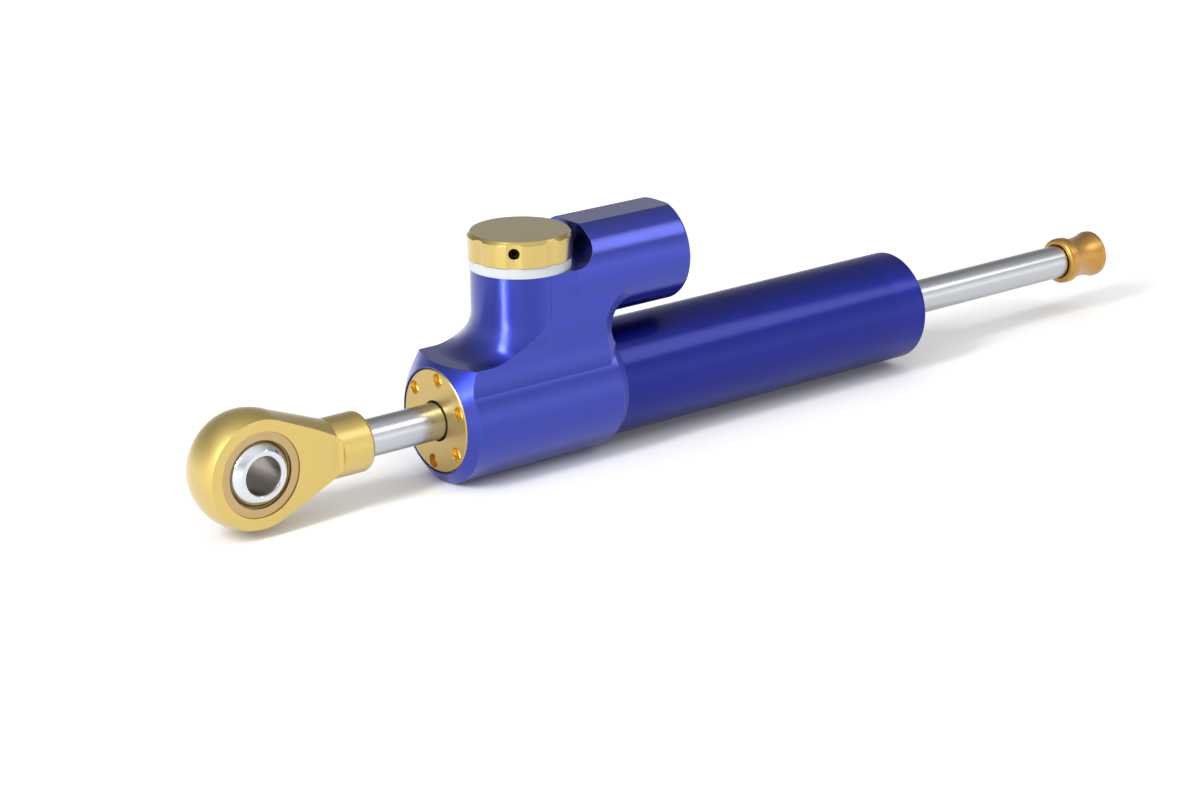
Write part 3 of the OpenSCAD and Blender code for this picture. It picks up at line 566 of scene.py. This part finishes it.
def head_marks(finish):
    """Turning marks round the barrel and the reservoir, and deeper ones round the neck."""
    turned = finish.between(finish.facing("X"), 1, 0, 0.05, 0.3)
    along = finish.rings(0.4 * MM, finish.along("X"))
    round_neck = finish.wave(finish.along("Z"), 0, details().neck_pitch)
    return [
        (finish.times(along, turned), 4 * MICRON),
        (finish.times(round_neck, on_neck(finish)), details().neck_depth),
    ]


def head_matt(finish, cloud):
    """The barrel is a little duller than the reservoir above it."""
    dull = finish.clouded(cloud, 0.36, 0.44)
    bright = finish.clouded(cloud, 0.27, 0.33)
    return finish.between(finish.along("Z"), dull, bright, tube_radius - 3 * MM, tube_radius + 4 * MM)


def tube_matt(finish, cloud):
    """The tube is dull all over."""
    return finish.clouded(cloud, 0.42, 0.5)


def tube_groove_shade(finish):
    """0 in the turned grooves and 1 on their crests and on the plain band. The grooves get a painted shade,
    a darker blue.
    """
    pitch, first = groove_pitch()
    plain = finish.between(finish.along("X"), 0, 1, plain_start() - pitch, plain_start())
    return finish.between(plain, finish.wave(finish.along("X"), first, pitch), 1)


def tube_marks(finish):
    """Fine chatter between the turned grooves."""
    return [(finish.rings(0.2 * MM, finish.along("X")), 3 * MICRON)]


def gold_anodised(name, colour, matt, marks, inside=None, spread=0.0):
    """Gold-dyed aluminium, with a blasted grain and tool marks, edges lightened by wear and a painted
    highlight, and a painted bounce light, a lighter and richer gold, where inside says.
    """
    finish = Finish(name)
    cloud = finish.grain(8 * MM)
    fine = finish.grain(0.25 * MM, detail=4)
    edges = finish.soft_edges(details().edge_soft)
    dye_and_painted_light = finish.mottled(cloud, colour, 0.95, 1.05)
    # Wear and painted highlight: broken edges are lightened to 1.3 times the gold.
    dye_and_painted_light = finish.tint(finish.edge_wear_and_highlight(edges, most=0.4), dye_and_painted_light, shade(colour, 1.3))
    if inside:
        # Painted bounce light: the gold inside the holes is lightened and made richer.
        dye_and_painted_light = finish.tint(inside(finish), dye_and_painted_light, colours().hole_bounce_gold)
    finish.surface(
        base_color=dye_and_painted_light,
        metallic=1.0,
        roughness=finish.clouded(cloud, *matt),
        coat_weight=1.0,
        coat_roughness=0.3,
    )
    if spread:
        finish.surface(anisotropic=spread, tangent=across_knob_marks(finish))
    normal = finish.relief(fine, 8 * MICRON, edges)
    for height, depth in marks(finish):
        normal = finish.relief(height, depth, normal)
    finish.surface(normal=normal, coat_normal=normal)
    return finish.material


def no_marks(finish):
    return []


def in_front_holes(finish):
    """Below the front gland's face, where only its pin-spanner holes are seen, and where painted bounce
    light lightens the gold.
    """
    return finish.between(finish.along("X"), 0, 1, front_face + 0.2 * MM, front_face + 0.6 * MM)


def in_rear_holes(finish):
    """Below the rear gland's face, where only its pin-spanner holes are seen, and where painted bounce
    light lightens the gold.
    """
    return finish.between(finish.along("X"), 1, 0, rear_face - 0.6 * MM, rear_face - 0.2 * MM)


def rod_face_marks(finish):
    """Facing rings round the rod's axis."""
    return [(finish.rings(0.3 * MM, from_rod_axis(finish)), 4 * MICRON)]


def cap_marks(finish):
    """Turning marks along the cap's waist."""
    return [(finish.rings(0.25 * MM, finish.along("X")), 4 * MICRON)]


def knob_marks(finish):
    """Facing rings on the knob's top."""
    top = finish.between(finish.facing("Z"), 0, 1, 0.8, 0.95)
    rings = finish.rings(0.35 * MM, finish.radius(knob_centre, (1, 1, 0)))
    return [(finish.times(rings, top), 10 * MICRON)]


def across_knob_marks(finish):
    """Marks that run round the knob spread the gloss up and down its side, and sideways on its top."""
    top = finish.between(finish.facing("Z"), 0, 1, 0.8, 0.95)
    return finish.direction(top, (0, 0, 1), (1, 0, 0))


def knob_marks(finish):
    """Facing rings on the knob's top."""
    top = finish.between(finish.facing("Z"), 0, 1, 0.8, 0.95)
    rings = finish.rings(0.00035, finish.radius(knob_centre, (1, 1, 0)))
    return [(finish.times(rings, top), 0.00001)]


def ground_metal(name, colour, matt, pitch, depth, away, spread=0.0):
    """Bare or plated metal with ground or turned rings, which can spread the gloss along the rod."""
    finish = Finish(name)
    rings = finish.rings(pitch, away(finish))
    cloud = finish.grain(6 * MM)
    finish.surface(
        base_color=finish.mottled(cloud, colour, 0.96, 1.04),
        metallic=1.0,
        roughness=finish.between(rings, *matt, *RING_RANGE),
    )
    if spread:
        finish.surface(anisotropic=spread, tangent=across_rod_marks(finish))
    normal = finish.soft_edges(details().edge_soft)
    finish.surface(normal=finish.relief(rings, depth, normal))
    return finish.material


def polished_ball(name):
    """Plated bearing steel with a dull unplated bore."""
    finish = Finish(name)
    away = from_eye_axis(finish)
    wall = details().bolt_radius
    bore = finish.between(away, 1, 0, wall + 0.08 * MM, wall + 0.2 * MM)
    rings = finish.rings(0.3 * MM, away)
    smear = finish.grain(3 * MM)
    plate = finish.mottled(smear, colours().chrome, 0.94, 1.03)
    gloss = finish.clouded(smear, 0.07, 0.13)
    finish.surface(
        base_color=finish.tint(bore, plate, colours().ball_bore),
        metallic=1.0,
        roughness=finish.between(bore, gloss, 0.3),
    )
    normal = finish.soft_edges(details().edge_soft)
    finish.surface(normal=finish.relief(rings, MICRON, normal))
    return finish.material


def moulded(name, colour, swing, matt, cloud_size, grain_size, grain_depth):
    """Plastic or rubber with a fine grain."""
    finish = Finish(name)
    cloud = finish.grain(cloud_size)
    finish.surface(
        base_color=finish.mottled(cloud, colour, *swing),
        roughness=finish.clouded(cloud, *matt),
    )
    normal = finish.soft_edges(details().edge_soft)
    finish.surface(normal=finish.relief(finish.grain(grain_size), grain_depth, normal))
    return finish


def from_rod_axis(finish):
    return finish.radius((0, 0, 0), (0, 1, 1))


def from_eye_axis(finish):
    return finish.radius(eye_centre, (1, 0, 1))


def along_rod(finish):
    return finish.along("X")


def along_height(finish):
    return finish.along("Z")


# Operators

class DAMPER_OT_tube(bpy.types.Operator):
    """Turn the outer tube with its fine grooves and plain band"""

    bl_idname = "damper.tube"
    bl_label = "Turned Tube"

    def execute(self, context):
        size = details()
        pitch, shoulder = groove_pitch()
        land_end = tube_high.x - size.tube_chamfer
        profile = [
            (tube_low.x, size.tube_bore),
            (tube_low.x, size.spigot_radius),
            (shoulder, size.spigot_radius),
            (shoulder, tube_radius),
        ]
        for i in range(round((plain_start() - shoulder) / pitch)):
            x = shoulder + pitch * i
            profile.append((x + pitch * 0.5, tube_radius - size.turn_depth))
            profile.append((x + pitch, tube_radius))
        profile.append((land_end, tube_radius))
        profile.append((tube_high.x, tube_radius - size.tube_chamfer))
        profile.append((tube_high.x, size.tube_bore))
        mesh = lathe("tube_turned", profile, size.tube_steps, math.radians(35))
        material = blue_anodised(
            "blue turned tube", colours().deep_blue, seal=0.35, matt=tube_matt, spread=0.7,
            across=across_rod_marks, marks=tube_marks, groove_shade=tube_groove_shade,
        )
        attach(new_piece("tube_turned", mesh, "blue_anodised", material, "cylinder_tube"), "barrel")
        return {"FINISHED"}


class DAMPER_OT_head(bpy.types.Operator):
    """Finish the blue head and the reservoir's plug"""

    bl_idname = "damper.head"
    bl_label = "Blue Head"

    def execute(self, context):
        blue = blue_anodised(
            "blue machined head", colours().blue, seal=0.85, matt=head_matt, spread=0.8,
            across=across_head_marks, marks=head_marks,
        )
        dress(blue, "head_block", "reservoir_plug")
        return {"FINISHED"}


class DAMPER_OT_gold(bpy.types.Operator):
    """Finish the gold rod eye, glands, knob and floating piston"""

    bl_idname = "damper.gold"
    bl_label = "Gold Pieces"

    def execute(self, context):
        gold = colours().gold
        pale = colours().pale_gold
        faced = (0.34, 0.42)
        dress(gold_anodised("gold blasted eye", gold, (0.36, 0.44), no_marks), "rod_eye")
        front = gold_anodised("gold faced front gland", pale, faced, rod_face_marks, in_front_holes)
        dress(front, "front_gland")
        rear = gold_anodised("gold faced rear gland", pale, faced, rod_face_marks, in_rear_holes)
        dress(rear, "rear_gland")
        dress(gold_anodised("gold turned piston", gold, (0.3, 0.4), rod_face_marks), "floating_piston")
        # Painted shade: the knob takes a darker copy of the gold, 0.88 of it, to tone down its brightly lit
        # side.
        shaded_knob_gold = shade(gold, 0.88)
        knob = gold_anodised("gold turned knob", shaded_knob_gold, (0.22, 0.28), knob_marks, spread=0.6)
        dress(knob, "adjuster_knob")
        return {"FINISHED"}


class DAMPER_OT_cap(bpy.types.Operator):
    """Finish the amber cap at the far end of the rod"""

    bl_idname = "damper.cap"
    bl_label = "Rod End Cap"

    def execute(self, context):
        amber = gold_anodised("amber turned cap", colours().amber, (0.32, 0.42), cap_marks)
        dress(amber, "rod_end_cap")
        return {"FINISHED"}


class DAMPER_OT_rod(bpy.types.Operator):
    """Finish the plated rod and the bearing ball"""

    bl_idname = "damper.rod"
    bl_label = "Plated Rod and Ball"

    def execute(self, context):
        rod = ground_metal(
            "chrome ground rod", shade(colours().chrome, 0.8), matt=(0.23, 0.27),
            pitch=0.25 * MM, depth=0.4 * MICRON, away=along_rod, spread=0.4,
        )
        dress(rod, "piston_rod")
        dress(polished_ball("chrome polished ball"), "bearing_ball")
        return {"FINISHED"}


class DAMPER_OT_bearings(bpy.types.Operator):
    """Finish the bronze race, the bushes, the piston ring and the brass valve pieces"""

    bl_idname = "damper.bearings"
    bl_label = "Bronze and Brass"

    def execute(self, context):
        bored = {"matt": (0.26, 0.4), "pitch": 0.3 * MM, "depth": 3 * MICRON}
        race = ground_metal("bronze turned race", colours().bronze, **bored, away=from_eye_axis)
        dress(race, "bearing_race")
        bush = ground_metal("bronze bored bush", colours().bronze, **bored, away=from_rod_axis)
        dress(bush, "front_rod_bush", "rear_rod_bush", "piston_ring")
        brass = ground_metal(
            "brass turned valve", colours().brass, matt=(0.2, 0.32),
            pitch=0.2 * MM, depth=2 * MICRON, away=along_height,
        )
        dress(brass, "valve_seat", "metering_needle")
        return {"FINISHED"}


class DAMPER_OT_washer(bpy.types.Operator):
    """Finish the white plastic ring under the knob"""

    bl_idname = "damper.washer"
    bl_label = "Plastic Washer"

    def execute(self, context):
        finish = moulded(
            "white plastic washer", colours().washer, swing=(0.97, 1.02), matt=(0.38, 0.5),
            cloud_size=3 * MM, grain_size=0.4 * MM, grain_depth=6 * MICRON,
        )
        finish.surface(subsurface_weight=0.2, subsurface_radius=(MM, MM, MM))
        dress(finish.material, "knob_washer")
        return {"FINISHED"}


class DAMPER_OT_seals(bpy.types.Operator):
    """Finish the rubber seals, wipers and O-rings"""

    bl_idname = "damper.seals"
    bl_label = "Rubber Seals"

    def execute(self, context):
        finish = moulded(
            "black moulded rubber", colours().rubber, swing=(0.8, 1.3), matt=(0.45, 0.65),
            cloud_size=2 * MM, grain_size=0.3 * MM, grain_depth=10 * MICRON,
        )
        dress(
            finish.material,
            "tube_o_ring", "front_gland_o_ring", "rear_gland_o_ring", "cartridge_o_ring",
            "spindle_o_ring", "reservoir_plug_o_ring", "floating_piston_o_ring",
            "front_rod_seal", "front_rod_wiper", "rear_rod_seal", "rear_rod_wiper",
        )
        return {"FINISHED"}


class DAMPER_OT_works(bpy.types.Operator):
    """Finish the steel and bare aluminium pieces inside"""

    bl_idname = "damper.works"
    bl_label = "Steel and Aluminium"

    def execute(self, context):
        steel = colours().steel
        clip = ground_metal(
            "steel stamped clip", steel, matt=(0.28, 0.42),
            pitch=0.4 * MM, depth=3 * MICRON, away=from_rod_axis,
        )
        dress(clip, "front_piston_clip", "rear_piston_clip", "reservoir_circlip")
        valve = ground_metal(
            "steel turned valve", steel, matt=(0.2, 0.34),
            pitch=0.3 * MM, depth=3 * MICRON, away=along_height,
        )
        dress(valve, "valve_cartridge", "adjuster_spindle", "spindle_clip", "detent_ball")
        black = ground_metal(
            "steel blackened screw", colours().black_steel, matt=(0.4, 0.55),
            pitch=0.2 * MM, depth=3 * MICRON, away=along_height,
        )
        dress(black, "knob_grub_screw")
        bare = ground_metal(
            "aluminium honed bore", colours().aluminium, matt=(0.22, 0.36),
            pitch=0.3 * MM, depth=3 * MICRON, away=along_rod,
        )
        dress(bare, "inner_liner", "piston")
        return {"FINISHED"}


class DAMPER_OT_springs(bpy.types.Operator):
    """Wind the compensator spring and the detent spring"""

    bl_idname = "damper.springs"
    bl_label = "Coil Springs"

    def execute(self, context):
        size = details()
        wire = ground_metal(
            "steel drawn wire", colours().steel, matt=(0.22, 0.34),
            pitch=0.4 * MM, depth=3 * MICRON, away=along_rod,
        )
        middle = (coil_low + coil_high) / 2
        lying = Matrix.Translation((coil_low.x, middle.y, middle.z)) @ Matrix.Rotation(math.pi / 2, 4, "Y")
        mean = (coil_high.y - coil_low.y - size.coil_wire) / 2
        long_coil = coil(
            "compensator_coil", lying, mean, size.coil_wire, coil_high.x - coil_low.x, size.coil_turns
        )
        stretched = new_piece("compensator_coil", long_coil, "steel", wire, "compensator_spring")
        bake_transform(stretched)
        middle = (detent_low + detent_high) / 2
        upright = Matrix.Translation((middle.x, middle.y, detent_low.z))
        mean = (detent_high.y - detent_low.y - size.detent_wire) / 2
        short_coil = coil(
            "detent_coil", upright, mean, size.detent_wire, detent_high.z - detent_low.z, size.detent_turns
        )
        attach(new_piece("detent_coil", short_coil, "steel", wire, "detent_spring"), "barrel")
        return {"FINISHED"}


class DAMPER_OT_stage(bpy.types.Operator):
    """Lay the pale floor and set the camera and the soft lamps"""

    bl_idname = "damper.stage"
    bl_label = "Studio"

    def execute(self, context):
        studio = context.scene.damper_studio
        self.camera(context, studio)
        self.floor(context, studio)
        self.dome(context, studio)
        self.softbox(context, "left", studio)
        self.softbox(context, "right", studio)
        context.scene.view_settings.view_transform = "Standard"
        return {"FINISHED"}

    def camera(self, context, studio):
        back = outward(studio.azimuth, studio.elevation)
        level = Vector((math.cos(studio.azimuth), math.sin(studio.azimuth), 0))
        upright = back.cross(level)
        lean, rise = math.cos(studio.roll), math.sin(studio.roll)
        right = level * lean + upright * rise
        up = upright * lean - level * rise
        lens = bpy.data.cameras.new("studio camera")
        lens.sensor_width = studio.sensor
        lens.sensor_fit = "HORIZONTAL"
        lens.lens = studio.lens
        lens.clip_start = 10 * MM
        camera = bpy.data.objects.new("studio camera", lens)
        turn = Matrix((right, up, back)).transposed().to_4x4()
        camera.matrix_world = Matrix.Translation(Vector(studio.aim) + back * studio.distance) @ turn
        context.scene.collection.objects.link(camera)
        context.scene.camera = camera

    def floor(self, context, studio):
        half = studio.floor_half
        build = bmesh.new()
        corners = [build.verts.new((x, y, floor_level)) for x, y in
                   ((-half, -half), (half, -half), (half, half), (-half, half))]
        build.faces.new(corners)
        mesh = bpy.data.meshes.new("studio_floor")
        build.to_mesh(mesh)
        build.free()
        floor = bpy.data.objects.new("studio_floor", mesh)
        context.scene.collection.objects.link(floor)
        finish = Finish("pale floor")
        grey = studio.floor_grey
        # Painted shade and shadow: the floor's glow is lower near the damper and rises further off, and
        # ambient occlusion paints a contact shadow into it.
        away = finish.radius(cad_centre, (studio.floor_stretch, 1, 0))
        white = finish.between(away, studio.near_white, studio.far_white, studio.near_ring, studio.far_ring)
        painted_floor_shadow = finish.node("ShaderNodeAmbientOcclusion", samples=studio.shadow_samples)
        painted_floor_shadow.inputs["Distance"].default_value = studio.shadow_reach
        finish.surface(
            base_color=(grey, grey, grey, 1),
            roughness=studio.floor_matt,
            specular_ior_level=studio.floor_gloss,
            emission_color=(1, 1, 1, 1),
            emission_strength=finish.times(
                finish.times(self.seen_ray(finish), white), painted_floor_shadow.outputs["AO"]
            ),
        )
        mesh.materials.append(finish.material)

    def seen_ray(self, finish):
        """1 for rays from the camera, from gloss and through glass."""
        ray = finish.node("ShaderNodeLightPath")
        total = ray.outputs["Is Camera Ray"]
        for kind in ("Is Glossy Ray", "Is Transmission Ray"):
            larger = finish.node("ShaderNodeMath", operation="MAXIMUM")
            finish.feed(larger.inputs[0], total)
            finish.feed(larger.inputs[1], ray.outputs[kind])
            total = larger.outputs[0]
        return total

    def dome(self, context, studio):
        world = bpy.data.worlds.new("studio dome")
        world.use_nodes = True
        tree = world.node_tree
        background = tree.nodes["Background"]
        place = tree.nodes.new("ShaderNodeTexCoord")
        split = tree.nodes.new("ShaderNodeSeparateXYZ")
        tree.links.new(place.outputs["Generated"], split.inputs[0])
        sky = tree.nodes.new("ShaderNodeValToRGB")
        stops = (
            (0.0, studio.horizon),
            (studio.low_height, studio.low_sky),
            (studio.high_height, studio.high_sky),
            (1.0, studio.zenith),
        )
        while len(sky.color_ramp.elements) < len(stops):
            sky.color_ramp.elements.new(studio.high_height)
        for element, (height, light) in zip(sky.color_ramp.elements, stops):
            element.position = height
            element.color = (light, light, light, 1)
        tree.links.new(split.outputs["Z"], sky.inputs["Fac"])
        tree.links.new(sky.outputs["Color"], background.inputs["Color"])
        light = tree.nodes.new("ShaderNodeMath")
        light.operation = "MULTIPLY"
        far = self.dimmed(tree, place, studio.far_bearing, FAR_EDGE, studio.far_side)
        front = self.dimmed(tree, place, studio.front_bearing, FRONT_EDGE, studio.front_side)
        tree.links.new(far, light.inputs[0])
        tree.links.new(front, light.inputs[1])
        tree.links.new(light.outputs[0], background.inputs["Strength"])
        context.scene.world = world

    def dimmed(self, tree, place, bearing, edge, least):
        """1 away from a bearing and least close to it; edge has the cosines where that changes."""
        toward = tree.nodes.new("ShaderNodeVectorMath")
        toward.operation = "DOT_PRODUCT"
        toward.inputs[1].default_value = outward(bearing, 0)
        tree.links.new(place.outputs["Generated"], toward.inputs[0])
        share = tree.nodes.new("ShaderNodeMapRange")
        share.inputs["From Min"].default_value, share.inputs["From Max"].default_value = edge
        share.inputs["To Min"].default_value = 1.0
        share.inputs["To Max"].default_value = least
        tree.links.new(toward.outputs["Value"], share.inputs["Value"])
        return share.outputs["Result"]

    def softbox(self, context, side, studio):
        """A rectangular lamp on one side that faces the damper."""
        bearing, height, distance, width, length, power = (
            getattr(studio, f"{side}_{value}")
            for value in ("bearing", "height", "distance", "width", "length", "power")
        )
        away = outward(bearing, height)
        lamp = bpy.data.lights.new(f"{side} softbox", "AREA")
        lamp.shape = "RECTANGLE"
        lamp.size = width
        lamp.size_y = length
        lamp.energy = power
        box = bpy.data.objects.new(f"{side} softbox", lamp)
        box.rotation_mode = "QUATERNION"
        box.rotation_quaternion = (-away).to_track_quat("-Z", "Y")
        box.location = cad_centre + away * distance
        context.scene.collection.objects.link(box)


STEPS = (
    DAMPER_OT_tube,
    DAMPER_OT_head,
    DAMPER_OT_gold,
    DAMPER_OT_cap,
    DAMPER_OT_rod,
    DAMPER_OT_bearings,
    DAMPER_OT_washer,
    DAMPER_OT_seals,
    DAMPER_OT_works,
    DAMPER_OT_springs,
    DAMPER_OT_stage,
)


class DAMPER_PT_panel(bpy.types.Panel):
    """The damper's steps and settings"""

    bl_idname = "DAMPER_PT_panel"
    bl_label = "Steering Damper"
    bl_space_type = "VIEW_3D"
    bl_region_type = "UI"
    bl_category = "Damper"

    def draw(self, context):
        for step in STEPS:
            self.layout.operator(step.bl_idname)
        for group in ("damper_colours", "damper_surface", "damper_studio"):
            settings = getattr(context.scene, group)
            column = self.layout.column(heading=settings.bl_rna.description)
            for key in settings.__annotations__:
                column.prop(settings, key)


CLASSES = (DamperColours, DamperSurface, DamperStudio, *STEPS, DAMPER_PT_panel)


def register():
    for kind in CLASSES:
        bpy.utils.register_class(kind)
    bpy.types.Scene.damper_colours = PointerProperty(type=DamperColours)
    bpy.types.Scene.damper_surface = PointerProperty(type=DamperSurface)
    bpy.types.Scene.damper_studio = PointerProperty(type=DamperStudio)


def unregister():
    del bpy.types.Scene.damper_studio
    del bpy.types.Scene.damper_surface
    del bpy.types.Scene.damper_colours
    for kind in reversed(CLASSES):
        bpy.utils.unregister_class(kind)


def main():
    register()
    bpy.ops.damper.tube()
    bpy.ops.damper.head()
    bpy.ops.damper.gold()
    bpy.ops.damper.cap()
    bpy.ops.damper.rod()
    bpy.ops.damper.bearings()
    bpy.ops.damper.washer()
    bpy.ops.damper.seals()
    bpy.ops.damper.works()
    bpy.ops.damper.springs()
    bpy.ops.damper.stage()


if __name__ == "__main__":
    main()
